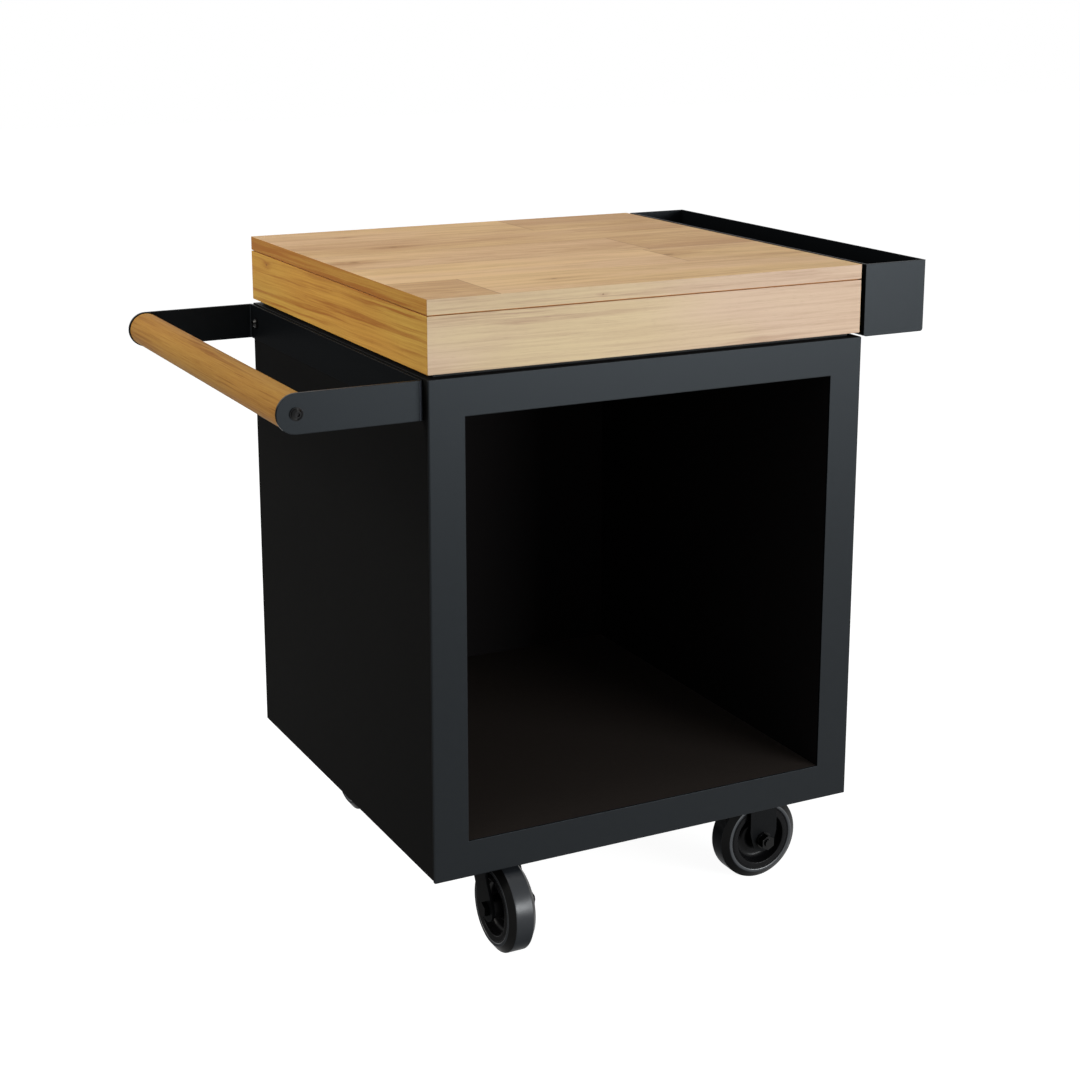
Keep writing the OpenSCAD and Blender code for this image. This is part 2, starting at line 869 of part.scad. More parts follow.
// Pressed U of two legs under a crown that ends at top, cut to the given side outline
module pressed_legs(top) {
    outer_w = leg_gap + 2 * leg_t;
    u_low = axle_z - leg_end_r;
    u_l = 2 * (trail + leg_end_r);
    intersection() {
        translate([-outer_w / 2, -u_l, u_low]) along_y(2 * u_l) difference() {
            soft_rect(outer_w, top - u_low, leg_bend_r, [2, 3]);
            translate([leg_t, -past])
                soft_rect(leg_gap, top - u_low - leg_t + past, leg_bend_r - leg_t, [2, 3]);
        }
        translate([-outer_w / 2, 0, 0]) along_x(outer_w) children();
    }
}

module axle_holes() {
    pin_x([-leg_outside - past, 0, axle_z], 2 * (leg_outside + past), axle_d + 2 * bolt_clear);
}

// Side outline of a slanted fork leg
module fork_outline() {
    front = [-fork_front, crown_top];
    rear = [fork_rear, crown_top];
    rear_low = [fork_rear, crown_low - leg_t];
    axle = [-trail, axle_z];
    polygon([front, rear, rear_low, touch(rear_low, axle, leg_end_r, 1),
             touch(front, axle, leg_end_r, -1)]);
    translate(axle) circle(leg_end_r);
}

// Slanted legs under a round crown that carries the lower ball race
module fork() {
    color(hardware_black) difference() {
        union() {
            pressed_legs(crown_top) fork_outline();
            translate([0, 0, crown_low]) cylinder(h = leg_t, d = race_outer_d);
            translate([0, 0, crown_top]) cylinder(h = lower_race_h, d = race_outer_d);
        }
        translate([0, 0, crown_top]) cylinder(h = lower_race_h + past, d = race_inner_d);
        translate([0, 0, crown_low - past])
            cylinder(h = leg_t + 2 * past, r = kingpin_d / 2 + running_fit);
        race_groove(seat_fit);
        trailed() axle_holes();
    }
}

// Side outline of a rigid caster's leg, straight down and tapered round the axle
module rigid_outline() {
    axle = [0, axle_z];
    half = rigid_leg_w / 2;
    front_low = [-half, axle_z + rigid_taper];
    rear_low = [half, axle_z + rigid_taper];
    polygon([[-half, caster_h], [half, caster_h], rear_low, touch(rear_low, axle, leg_end_r, 1),
             touch(front_low, axle, leg_end_r, -1), front_low]);
    translate(axle) circle(leg_end_r);
}

module rigid_bracket() {
    color(hardware_black) difference() {
        union() {
            mounting_plate();
            turned() pressed_legs(caster_h) rigid_outline();
        }
        turned() axle_holes();
    }
}

// Axle bolt with its head on the left, washer and nut on the right
module axle_bolt() {
    color(hardware_black) {
        pin_x([-leg_outside, 0, axle_z], leg_outside + axle_end, axle_d);
        translate([-leg_outside - axle_head_h, 0, axle_z]) rotate([0, 90, 0])
            cylinder(h = axle_head_h, r = hex_r(axle_hex), $fn = 6);
        difference() {
            pin_x([leg_outside, 0, axle_z], axle_washer_t, axle_d * 2);
            pin_x([leg_outside - past, 0, axle_z], axle_washer_t + 2 * past,
                  axle_d + 2 * seat_fit);
        }
        translate([nut_start, 0, axle_z]) rotate([0, 90, 0])
            hex_nut(axle_hex, axle_nut_h, axle_d + 2 * seat_fit);
    }
}

// Tube clamped between the legs that the hub turns on
module axle_bush() {
    bush_l = leg_gap - 2 * seat_fit;
    color(bearing_steel) difference() {
        pin_x([-bush_l / 2, 0, axle_z], bush_l, bush_d);
        pin_x([-bush_l / 2 - past, 0, axle_z], bush_l + 2 * past, axle_d + 2 * seat_fit);
    }
}

// Section turned about a wheel's axle; the points are radius and half width on one side
module turned_about_axle(side) {
    other = [for (i = [len(side) - 1 : -1 : 0]) [side[i][0], -side[i][1]]];
    translate([0, 0, axle_z]) rotate([0, 90, 0]) rotate_extrude()
        polygon(concat(side, other));
}

module wheel_core() {
    bore_r = bush_d / 2 + running_fit;
    color(core_black) turned_about_axle([
        [bore_r, hub_l / 2], [hub_d / 2, hub_l / 2], [hub_d / 2 + core_draft, web_t / 2],
        [rim_inner_d / 2 - core_draft, web_t / 2], [rim_inner_d / 2, rim_w / 2],
        [core_d / 2, rim_w / 2]
    ]);
}

module tyre() {
    tyre_bore_r = core_d / 2 + seat_fit;
    color(tyre_grey) turned_about_axle([
        [tyre_bore_r, rim_w / 2], [tyre_lip_d / 2, tyre_w / 2], [shoulder_d / 2, tyre_w / 2],
        [wheel_d / 2, tread_w / 2]
    ]);
}

// Bolts through plates and channels of all four casters, heads below, nuts above
module caster_bolts() {
    bolt_l = plate_t + channel_t + nut_h + bolt_tail;
    color(hardware_black) for (x = [caster_inset_x, cabinet_w - caster_inset_x]) {
        for (y = [caster_inset_y, cabinet_d - caster_inset_y]) {
            translate([x, y, plate_low]) at_plate_bolts() {
                pin_z([0, 0, 0], bolt_l, mount_bolt_d);
                translate([0, 0, -bolt_head_h])
                    cylinder(h = bolt_head_h, r = hex_r(nut_hex), $fn = 6);
                translate([0, 0, plate_t + channel_t])
                    hex_nut(nut_hex, nut_h, mount_bolt_d + 2 * seat_fit);
            }
        }
    }
}

place() front_frame();
place() left_side_panel();
place() right_side_panel();
place() back_panel();
place() top_deck();
place() liner_left();
place() liner_right();
place() liner_floor();
place() liner_ceiling();
place() liner_back();
place() base_channel(caster_inset_y);  // front_base_channel
place() base_channel(cabinet_d - caster_inset_y);  // rear_base_channel
place() back_panel_rivets();
place() board_row(1);  // board_row_1
place() board_row(2);  // board_row_2
place() board_row(3);  // board_row_3
place() board_row(4);  // board_row_4
place() board_row(5);  // board_row_5
place() front_apron();
place() rear_apron();
place() left_apron();
place() right_apron();
place() corner_blocks();
place() worktop_spacers();
place() worktop_screws();
place() planter_trough();
place() planter_front_plate();
place() planter_rear_plate();
place() planter_fixings();
place() handle_bracket();
place() handle_bar();
place() handle_screws();

place() at_front_left() swivel_top_plate();  // front_left_top_plate
place() at_front_left() kingpin();  // front_left_kingpin
place() at_front_left() race_balls();  // front_left_balls
place() at_front_left() fork();  // front_left_fork
place() at_front_left() trailed() axle_bolt();  // front_left_axle
place() at_front_left() trailed() axle_bush();  // front_left_bush
place() at_front_left() trailed() wheel_core();  // front_left_wheel_core
place() at_front_left() trailed() tyre();  // front_left_tyre

place() at_back_left() swivel_top_plate();  // back_left_top_plate
place() at_back_left() kingpin();  // back_left_kingpin
place() at_back_left() race_balls();  // back_left_balls
place() at_back_left() fork();  // back_left_fork
place() at_back_left() trailed() axle_bolt();  // back_left_axle
place() at_back_left() trailed() axle_bush();  // back_left_bush
place() at_back_left() trailed() wheel_core();  // back_left_wheel_core
place() at_back_left() trailed() tyre();  // back_left_tyre

place() at_front_right() rigid_bracket();  // front_right_bracket
place() at_front_right() turned() axle_bolt();  // front_right_axle
place() at_front_right() turned() axle_bush();  // front_right_bush
place() at_front_right() turned() wheel_core();  // front_right_wheel_core
place() at_front_right() turned() tyre();  // front_right_tyre

place() at_back_right() rigid_bracket();  // back_right_bracket
place() at_back_right() turned() axle_bolt();  // back_right_axle
place() at_back_right() turned() axle_bush();  // back_right_bush
place() at_back_right() turned() wheel_core();  // back_right_wheel_core
place() at_back_right() turned() tyre();  // back_right_tyre

place() caster_bolts();
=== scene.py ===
# Dresses the prep table: oiled wood, powder-coated steel, black casters, soft studio light.
import json
import math

import bmesh
import bpy
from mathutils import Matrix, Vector


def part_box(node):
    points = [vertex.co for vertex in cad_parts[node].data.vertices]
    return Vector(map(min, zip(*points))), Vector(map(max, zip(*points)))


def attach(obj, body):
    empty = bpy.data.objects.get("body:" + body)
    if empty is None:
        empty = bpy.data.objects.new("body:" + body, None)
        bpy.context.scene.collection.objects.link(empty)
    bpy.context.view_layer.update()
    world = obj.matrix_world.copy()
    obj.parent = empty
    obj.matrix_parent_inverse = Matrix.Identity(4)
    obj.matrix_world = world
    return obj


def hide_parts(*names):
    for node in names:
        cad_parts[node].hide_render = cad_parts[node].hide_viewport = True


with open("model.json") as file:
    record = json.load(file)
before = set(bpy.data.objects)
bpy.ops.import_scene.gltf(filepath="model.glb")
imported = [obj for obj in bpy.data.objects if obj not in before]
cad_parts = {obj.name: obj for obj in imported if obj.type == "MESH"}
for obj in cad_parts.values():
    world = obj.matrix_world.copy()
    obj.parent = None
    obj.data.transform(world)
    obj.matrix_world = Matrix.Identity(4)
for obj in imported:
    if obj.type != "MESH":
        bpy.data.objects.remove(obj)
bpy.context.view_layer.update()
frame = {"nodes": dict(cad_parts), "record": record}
NODES = frame["nodes"]
MM = 0.001


# Camera

# The photograph's viewpoint, worked out from the cabinet's own edges
CAMERA_PLACE = (-1.2329, -2.4793, 1.2901)
CAMERA_YAW = math.radians(27.05)
CAMERA_PITCH = math.radians(13.25)
CAMERA_LENS = 65.67
CAMERA_SENSOR = 36.0
CAMERA_SHIFT = -0.1


def add_camera():
    data = bpy.data.cameras.new("camera")
    data.lens = CAMERA_LENS
    data.sensor_width = CAMERA_SENSOR
    data.shift_y = CAMERA_SHIFT
    camera = bpy.data.objects.new("camera", data)
    camera.location = CAMERA_PLACE
    camera.rotation_euler = (math.pi / 2 - CAMERA_PITCH, 0.0, -CAMERA_YAW)
    bpy.context.scene.collection.objects.link(camera)
    bpy.context.scene.camera = camera


# Shader helpers

# Specular level of all paint that faces the planter's side, where it would glare from behind
PLANTER_SIDE_GLOSS = 0.008
# How squarely a face is turned to a side where its gloss starts to change, and where it ends
TURN_START = 0.8
TURN_END = 0.97


def color(r, g, b):
    return (r, g, b, 1.0)


class NodeTree:
    """A tree of shader nodes, with short calls to add and join them."""

    def __init__(self, tree):
        self.tree = tree
        self.tree.nodes.clear()

    def add(self, kind):
        return self.tree.nodes.new("ShaderNode" + kind)

    def link(self, source, target):
        self.tree.links.new(source, target)

    def put(self, value, socket):
        if isinstance(value, bpy.types.NodeSocket):
            self.link(value, socket)
        else:
            socket.default_value = value

    def math(self, operation, a, b=0.0, c=0.0, clamp=False):
        node = self.add("Math")
        node.operation = operation
        node.use_clamp = clamp
        for value, socket in zip((a, b, c), node.inputs):
            self.put(value, socket)
        return node.outputs[0]

    def minus(self, a, b):
        return self.math("SUBTRACT", a, b)

    def times(self, a, b):
        return self.math("MULTIPLY", a, b)

    def scaled(self, value, factor, added):
        return self.math("MULTIPLY_ADD", value, factor, added)


class Shader(NodeTree):
    """One material's nodes around its Principled surface."""

    def __init__(self, name):
        self.material = bpy.data.materials.new(name)
        self.material.use_nodes = True
        super().__init__(self.material.node_tree)
        self.surface = self.add("BsdfPrincipled")
        self.link(self.surface.outputs[0], self.add("OutputMaterial").inputs["Surface"])

    def set(self, **values):
        for name, value in values.items():
            self.put(value, self.surface.inputs[name.replace("_", " ")])

    def attribute(self, name, output="Vector"):
        node = self.add("Attribute")
        node.attribute_name = name
        return node.outputs[output]

    def split(self, vector):
        node = self.add("SeparateXYZ")
        self.link(vector, node.inputs[0])
        return node.outputs

    def combine(self, x, y, z):
        node = self.add("CombineXYZ")
        for value, socket in zip((x, y, z), node.inputs):
            self.put(value, socket)
        return node.outputs[0]

    def place(self):
        return self.add("TexCoord").outputs["Object"]

    def facing(self):
        """The x, y and z of where the face is turned."""
        return self.split(self.add("NewGeometry").outputs["Normal"])

    def noise(self, vector, scale, detail, rough):
        """Noise with one scale, or with three, drawn out along the axes of the small ones."""
        if isinstance(scale, tuple):
            stretch = self.add("Mapping")
            stretch.inputs["Scale"].default_value = scale
            self.link(vector, stretch.inputs["Vector"])
            vector = stretch.outputs[0]
            scale = 1.0
        node = self.add("TexNoise")
        self.link(vector, node.inputs["Vector"])
        node.inputs["Scale"].default_value = scale
        node.inputs["Detail"].default_value = detail
        node.inputs["Roughness"].default_value = rough
        return node.outputs["Fac"]

    def rise(self, value, low, high, to_low=0.0, to_high=1.0):
        """A smooth step from to_low to to_high, as the value goes from low to high."""
        node = self.add("MapRange")
        node.interpolation_type = "SMOOTHSTEP"
        for one, socket in zip((value, low, high, to_low, to_high), node.inputs):
            self.put(one, socket)
        return node.outputs[0]

    def mix(self, factor, a, b, blend="MIX"):
        node = self.add("Mix")
        node.data_type = "RGBA"
        node.blend_type = blend
        self.put(factor, node.inputs["Factor"])
        colors = [socket for socket in node.inputs if socket.type == "RGBA"]
        for value, socket in zip((a, b), colors):
            self.put(value, socket)
        return [socket for socket in node.outputs if socket.type == "RGBA"][0]

    def shade(self, base, tone):
        """The base colour, darker or lighter all over by the tone."""
        return self.mix(1.0, base, self.combine(tone, tone, tone), "MULTIPLY")

    def bump(self, height, distance, strength, under=None):
        """Bumps on the surface, or on a normal that lies under them."""
        node = self.add("Bump")
        node.inputs["Strength"].default_value = strength
        node.inputs["Distance"].default_value = distance
        self.link(height, node.inputs["Height"])
        if under is not None:
            self.link(under, node.inputs["Normal"])
        self.link(node.outputs[0], self.surface.inputs["Normal"])

    def soft_edges(self, radius):
        node = self.add("Bevel")
        node.samples = 6
        node.inputs["Radius"].default_value = radius
        return node.outputs[0]

    def gloss(self, level, matt):
        """Specular level, down to matt on faces turned to the handle's side or the floor,
        where the real surroundings are dark, and low on the planter's side."""
        sideways, _, upward = self.facing()
        turned = self.math("MINIMUM", sideways, upward)
        shown = self.rise(turned, -TURN_END, -TURN_START, matt, level)
        shown = self.rise(sideways, TURN_START, TURN_END, shown, PLANTER_SIDE_GLOSS)
        self.set(Specular_IOR_Level=shown)


# Materials

# Radius by which the edges of folded steel look softened
FOLD_EDGE = 0.0014
# Where the painted highlight on bends starts and ends, by how far it is turned to the
# planter's side
BEND_HIGHLIGHT_START = (0.05, 0.2)
BEND_HIGHLIGHT_END = (0.9, 0.98)


def powder_coat(name, base, rough, level, matt, tint=color(1.0, 1.0, 1.0), bend_highlight=None):
    """Satin powder coat: a fine orange peel, a faint cloudy tone and softened edges. Given a
    highlight colour, bends that turn towards the planter's side have it: a painted highlight
    where they stay in shade."""
    s = Shader(name)
    where = s.place()
    if bend_highlight is not None:
        sideways = s.facing()[0]
        # Painted highlight: bends turned towards the planter's side get the lighter colour
        bend_highlight_mask = s.times(s.rise(sideways, *BEND_HIGHLIGHT_START), s.rise(sideways, *BEND_HIGHLIGHT_END, 1.0, 0.0))
        base = s.mix(bend_highlight_mask, base, bend_highlight)
    cloud = s.noise(where, scale=5.0, detail=3.0, rough=0.6)
    dust = s.noise(where, scale=90.0, detail=4.0, rough=0.7)
    s.set(Base_Color=s.shade(base, s.scaled(cloud, 0.16, s.scaled(dust, 0.08, 0.88))))
    s.set(Roughness=s.scaled(dust, 0.12, rough - 0.06))
    s.set(Specular_Tint=tint)
    s.gloss(level, matt)
    coarse = s.noise(where, scale=900.0, detail=2.0, rough=0.5)
    fine = s.noise(where, scale=2600.0, detail=1.0, rough=0.5)
    peel = s.math("ADD", coarse, fine)
    s.bump(peel, distance=0.00004, strength=0.5, under=s.soft_edges(FOLD_EDGE))
    return s.material


def black_gloss(name, base, rough, level, edge):
    """Lacquered caster steel, black oxide screws and moulded wheel cores, a little scuffed."""
    s = Shader(name)
    wear_and_sheen = s.noise(s.place(), scale=220.0, detail=4.0, rough=0.7)
    s.set(Base_Color=s.shade(base, s.scaled(wear_and_sheen, 0.5, 0.75)))
    s.set(Roughness=s.scaled(wear_and_sheen, 0.2, rough - 0.08))
    s.gloss(level, matt=0.004)
    s.bump(wear_and_sheen, distance=0.00003, strength=0.4, under=s.soft_edges(edge))
    return s.material


def polished(name, base):
    """Ground steel of balls and bushes with faint turning marks."""
    s = Shader(name)
    marks = s.noise(s.place(), scale=400.0, detail=3.0, rough=0.6)
    s.set(Base_Color=s.shade(base, s.scaled(marks, 0.2, 0.9)), Metallic=1.0)
    s.set(Roughness=s.scaled(marks, 0.15, 0.15))
    s.bump(marks, distance=0.00001, strength=0.3)
    return s.material


def rubber(name, base, worn_and_sheen):
    """Solid tyre rubber: faintly mottled, paler, bluer and shinier on the tread and the lip as
    its tag says, partly scuffing and partly a painted sheen, and matt where it turns down to
    the floor."""
    s = Shader(name)
    where = s.place()
    mottle = s.noise(where, scale=60.0, detail=4.0, rough=0.65)
    grit = s.noise(where, scale=700.0, detail=2.0, rough=0.6)
    wear_and_sheen = s.attribute("wear_and_sheen", "Fac")
    # Paler and bluer on the lip and tread: partly scuffing, partly a painted sheen
    s.set(Base_Color=s.shade(s.mix(wear_and_sheen, base, worn_and_sheen), s.scaled(mottle, 0.3, 0.85)))
    s.set(Roughness=s.scaled(mottle, 0.2, 0.22))
    upward = s.facing()[2]
    level = s.rise(upward, -0.5, 0.35, to_low=0.015, to_high=s.scaled(wear_and_sheen, 0.36, 0.05))
    s.gloss(level, matt=0.01)
    s.bump(grit, distance=0.00006, strength=0.5)
    return s.material


def groove_wood(name):
    """Raw wood in the groove under the board and inside the aprons, redder and darker than the
    faces around it: painted shade in the groove.
    """
    s = Shader(name)
    fleck = s.noise(s.place(), scale=120.0, detail=3.0, rough=0.6)
    s.set(Base_Color=s.mix(fleck, color(0.46, 0.17, 0.03), color(0.56, 0.24, 0.05)))
    s.set(Roughness=s.scaled(fleck, 0.2, 0.5))
    s.bump(fleck, distance=0.00008, strength=0.5)
    return s.material


# The log: rings and broader bands of rings per metre of its radius
RINGS = 150.0
BROAD_RINGS = 23.0
# How the rings waver: how often, per metre along and across, and how far, in metres of radius
WAVES = (2.2, 9.0, 9.0)
WOBBLES = (9.0, 34.0, 34.0)
WAVE_ACROSS = 0.03
WAVE_OUT = 0.022
WOBBLE_OUT = 0.006
# Streaks, fine lines and finger-wide bands per metre across the grain
STREAKS_ACROSS = 280.0
LINES_ACROSS = 800.0
BANDS_ACROSS = 100.0
# Pores and cloudy patches per metre along and across the grain
PORES = (70.0, 1300.0, 1300.0)
PATCHES = (3.0, 14.0, 14.0)
# What a step along the grain counts, squared, beside one across: around a knot, in its eye
AROUND_ALONG = 0.14
EYE_ALONG = 0.3
# A knot pushes the rings outwards by this share of its size
KNOT_PUSH = 0.55
KNOT_BROWN = color(0.16, 0.075, 0.03)
# A joint's dark line fades out between these distances, from this strength
SEAM_CORE = 0.0002
SEAM_END = 0.001
SEAM_DARK = 0.75


def branch(s, along, across):
    """How far the place is from the branch, in sizes of its knot, as the fibres run around
    it and as its eye shows. Then how strongly it pushes the rings outwards."""
    knot_x, knot_y, size = s.split(s.attribute("knot"))
    run = s.minus(along, knot_x)
    side = s.minus(across, knot_y)
    run_2 = s.times(run, run)
    side_2 = s.times(side, side)
    near = s.math("DIVIDE", s.math("SQRT", s.scaled(run_2, AROUND_ALONG, side_2)), size)
    eye = s.math("DIVIDE", s.math("SQRT", s.scaled(run_2, EYE_ALONG, side_2)), size)
    bell = s.math("EXPONENT", s.times(s.times(near, near), -0.5))
    return near, eye, s.times(size, bell)


def log_radius(s, grain, push, wavy):
    """How far the place is from the log's middle, wavy and a little tapered, and the wave."""
    along, across, depth = s.split(grain)
    pith_y, pith_z, slope = s.split(s.attribute("pith"))
    wave = s.noise(grain, WAVES, detail=2.0, rough=0.5)
    wobble = s.noise(grain, WOBBLES, detail=2.0, rough=0.5)
    y = s.scaled(wave, WAVE_ACROSS * wavy, s.minus(across, pith_y))
    z = s.minus(depth, pith_z)
    radius = s.math("SQRT", s.scaled(y, y, s.times(z, z)))
    radius = s.scaled(along, slope, radius)
    radius = s.scaled(wave, WAVE_OUT * wavy, radius)
    radius = s.scaled(wobble, WOBBLE_OUT * wavy, radius)
    return s.scaled(push, KNOT_PUSH, radius), wave


def ring_shade(s, radius, rings, start, peak):
    """How dark a ring is: more and more from its start to its peak, both shares of its
    width, and then down to the next ring."""
    share = s.math("FRACT", s.times(radius, rings))
    return s.times(s.rise(share, start, peak), s.rise(share, peak, 1.0, 1.0, 0.0))


def wood(name, pale, blush, dark, rings, streaks, clouds, wavy=1.0, reach=5.0, rough=0.75,
         bands=0.0):
    """Oiled hardwood sawn from a log, as strong in rings, streaks and clouds and as wavy as
    given. Its streaks are the longer the smaller their reach, and the more broken the rougher.
    Bands are broader streaks, a finger wide.

    The faces carry where they sit in the log: grain runs along its first axis, pith says how
    far off the log's middle is, knot where a branch crosses, tone how dark the piece is, and
    seam how far it is to the joints around it."""
    s = Shader(name)
    grain = s.attribute("grain")
    along, across, depth = s.split(grain)
    near, eye, push = branch(s, along, across)
    radius, wave = log_radius(s, grain, push, wavy)
    late = ring_shade(s, radius, RINGS, 0.2, 0.9)
    broad = ring_shade(s, radius, BROAD_RINGS, 0.1, 0.7)

    # Streaks that follow the rings, pores and cloudy patches
    lines = s.combine(along, s.scaled(radius, 0.7, across), depth)
    streak = s.noise(lines, (reach, STREAKS_ACROSS, STREAKS_ACROSS), detail=4.0, rough=rough)
    fine = s.noise(lines, (reach * 2.0, LINES_ACROSS, LINES_ACROSS), detail=3.0, rough=0.7)
    band = s.noise(lines, (reach, BANDS_ACROSS, BANDS_ACROSS), detail=3.0, rough=0.7)
    pores = s.rise(s.noise(grain, PORES, detail=1.0, rough=0.4), 0.58, 0.7)
    swell = s.rise(s.noise(grain, PATCHES, detail=3.0, rough=0.55), 0.3, 0.7)
    mark = s.times(s.rise(streak, 0.49, 0.61), s.scaled(swell, 0.8, 0.3))

    # How dark it all makes the wood
    deep = s.scaled(late, rings, s.attribute("tone", "Fac"))
    deep = s.scaled(broad, rings * 0.8, deep)
    deep = s.scaled(mark, streaks, deep)
    deep = s.scaled(s.minus(fine, 0.5), streaks * 2.1, deep)
    deep = s.scaled(s.minus(swell, 0.5), clouds, deep)
    deep = s.scaled(s.minus(band, 0.5), bands, deep)
    deep = s.scaled(pores, 0.16, deep)
    deep = s.math("ADD", deep, s.rise(near, 0.6, 2.6, 0.3, 0.0), clamp=True)

    # Its colours, brown in a knot's eye and along the joints
    light = s.mix(s.rise(wave, 0.35, 0.65), pale, blush)
    heart = s.rise(s.scaled(streak, 0.35, eye), 0.35, 0.8, 0.6, 0.0)
    body = s.mix(heart, s.mix(deep, light, dark), KNOT_BROWN)
    left, right, front = s.split(s.attribute("seam"))
    gap = s.math("MINIMUM", s.math("MINIMUM", left, right), front)
    body = s.mix(s.rise(gap, SEAM_CORE, SEAM_END, SEAM_DARK, 0.0), body, KNOT_BROWN)
    s.set(Base_Color=body, Roughness=s.scaled(fine, 0.2, 0.48), Specular_IOR_Level=0.04)
    s.bump(s.scaled(pores, -0.8, s.times(fine, 0.6)), distance=0.0001, strength=0.6)
    return s.material


# Mesh helpers

# Flat faces around each turned piece, short lines around each rounded corner of its profile,
# and the largest share of the line to the next corner that a rounding takes
TURNED_STEPS = 96
EASED_STEPS = 5
EASED_SHARE = 0.45


def assign(node, material):
    mesh = NODES[node].data
    mesh.materials.clear()
    mesh.materials.append(material)


def finish_piece(made, name, materials, body, replaced, sharp=None):
    """Turns the bmesh into a piece on its body. Given the angle from which its edges stay
    sharp, in degrees, the rest is smooth."""
    data = bpy.data.meshes.new(name)
    made.to_mesh(data)
    made.free()
    for material in materials:
        data.materials.append(material)
    if sharp is not None:
        data.shade_smooth()
        data.set_sharp_from_angle(angle=math.radians(sharp))
    piece = bpy.data.objects.new(name, data)
    bpy.context.scene.collection.objects.link(piece)
    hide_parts(replaced)
    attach(piece, body)


def prism(mesh, corners, low, high, bevel, joined=()):
    """Upright prism over a plan outline, its edges rounded by bevel, but for those around
    the joined sides, each given as the number of its first corner. Returns its faces."""
    before = set(mesh.faces)
    base = [mesh.verts.new((x, y, low)) for x, y in corners]
    lid = [mesh.verts.new((x, y, high)) for x, y in corners]
    count = len(corners)
    mesh.faces.new(list(reversed(base)))
    mesh.faces.new(lid)
    sides = []
    for i in range(count):
        j = (i + 1) % count
        sides.append(mesh.faces.new((base[i], base[j], lid[j], lid[i])))
    made = [face for face in mesh.faces if face not in before]
    kept = {edge for i in joined for edge in sides[i].edges}
    edges = list({edge for face in made for edge in face.edges} - kept)
    bmesh.ops.bevel(mesh, geom=edges, offset=bevel, segments=3, profile=0.5,
                    affect="EDGES", clamp_overlap=True)
    return [face for face in mesh.faces if face not in before]


def lathe(mesh, loop, centre, axis):
    """Turns a closed loop of (radius, place along the axis) points about the axis. Returns
    a ring of vertices for each point."""
    first, second = [i for i in range(3) if i != axis]
    rings = []
    for radius, place in loop:
        ring = []
        for k in range(TURNED_STEPS):
            angle = 2 * math.pi * k / TURNED_STEPS
            at = Vector(centre)
            at[axis] += place
            at[first] += radius * math.cos(angle)
            at[second] += radius * math.sin(angle)
            ring.append(mesh.verts.new(at))
        rings.append(ring)
    for here, there in zip(rings, rings[1:] + rings[:1]):
        for k in range(TURNED_STEPS):
            j = (k + 1) % TURNED_STEPS
            mesh.faces.new((here[k], there[k], there[j], here[j]))
    bmesh.ops.recalc_face_normals(mesh, faces=mesh.faces)
    return rings


def eased(points):
    """Rounds the corners of a profile of (radius, place, easing, tag) points. Gives
    (radius, place) points, each with its tag."""
    made = []
    for i, (radius, place, ease, tag) in enumerate(points):
        corner = Vector((radius, place))
        if ease == 0 or i in (0, len(points) - 1):
            made.append((tuple(corner), tag))
            continue
        ends = []
        for near in (points[i - 1], points[i + 1]):
            way = Vector(near[:2]) - corner
            ends.append(corner + way.normalized() * min(ease, EASED_SHARE * way.length))
        for k in range(EASED_STEPS + 1):
            t = k / EASED_STEPS
            curve = ends[0].lerp(corner, t).lerp(corner.lerp(ends[1], t), t)
            made.append((tuple(curve), tag))
    return made


# Wood

# The distance that is written where there is no joint
NO_JOINT = 1.0


class Skin:
    """How a face is cut from a log: its axes along, across and into the grain, where they
    are zero, how far along the log that is, the log's own pith, knot and tone, and which of
    the piece's materials it has."""

    def __init__(self, axes, start, offset, pith, knot, tone, index,
                 joints=(None, None, None), fade=None):
        self.axes = [Vector(axis) for axis in axes]
        self.start = Vector(start)
        self.offset = offset
        self.pith = Vector(pith)
        self.knot = Vector((knot[0] + offset, knot[1], knot[2]))
        self.tone = tone
        self.index = index
        self.joints = joints
        self.fade = fade

    def shade(self, place):
        """How dark the wood is at the place, darker behind where the fade starts."""
        if self.fade is None:
            return self.tone
        start, end, more = self.fade
        return self.tone + more * min(1.0, max(0.0, (place.y - start) / (end - start)))

    def seam(self, place):
        """How far the place is from the joints at its left, right and near side."""
        left, right, near = self.joints
        return Vector((place.x - left if left is not None else NO_JOINT,
                       right - place.x if right is not None else NO_JOINT,
                       place.y - near if near is not None else NO_JOINT))


class WoodMesh:
    """Collects wooden solids and writes on each face corner how it is cut."""

    def __init__(self):
        self.mesh = bmesh.new()
        layers = self.mesh.loops.layers
        self.grain = layers.float_vector.new("grain")
        self.pith = layers.float_vector.new("pith")
        self.knot = layers.float_vector.new("knot")
        self.seam = layers.float_vector.new("seam")
        self.tone = layers.float.new("tone")

    def cut(self, faces, pick):
        """pick gives the skin for a face's normal."""
        for face in faces:
            face.normal_update()
            skin = pick(face.normal)
            face.material_index = skin.index
            for loop in face.loops:
                away = loop.vert.co - skin.start
                local = Vector([away.dot(axis) for axis in skin.axes])
                local.x += skin.offset
                loop[self.grain] = local
                loop[self.pith] = skin.pith
                loop[self.knot] = skin.knot
                loop[self.seam] = skin.seam(loop.vert.co)
                loop[self.tone] = skin.shade(loop.vert.co)


TOP_AXES = ((1, 0, 0), (0, 1, 0), (0, 0, 1))
BAR_AXES = ((0, 1, 0), (1, 0, 0), (0, 0, 1))
FRONT_AXES = ((1, 0, 0), (0, 0, 1), (0, 1, 0))
SIDE_AXES = ((0, 1, 0), (0, 0, 1), (1, 0, 0))
NO_KNOT = (9.0, 9.0, 0.001)
# Where each of the worktop's materials is in its list: the top, the front and back with a
# painted sheen, the sides with painted shade, and the groove with painted shade
TOP, FRONT_SHEEN, SIDE_SHADE, GROOVE = range(4)
WOOD_EDGE = 0.0006
# How far apart along the log, in metres, neighbouring rows and staves are cut
ROW_APART = 1.7
STAVE_APART = 0.9
# A face counts as one of a side, or of the top, if its normal points this much that way
ON_SIDE = 0.8
ON_TOP = 0.9

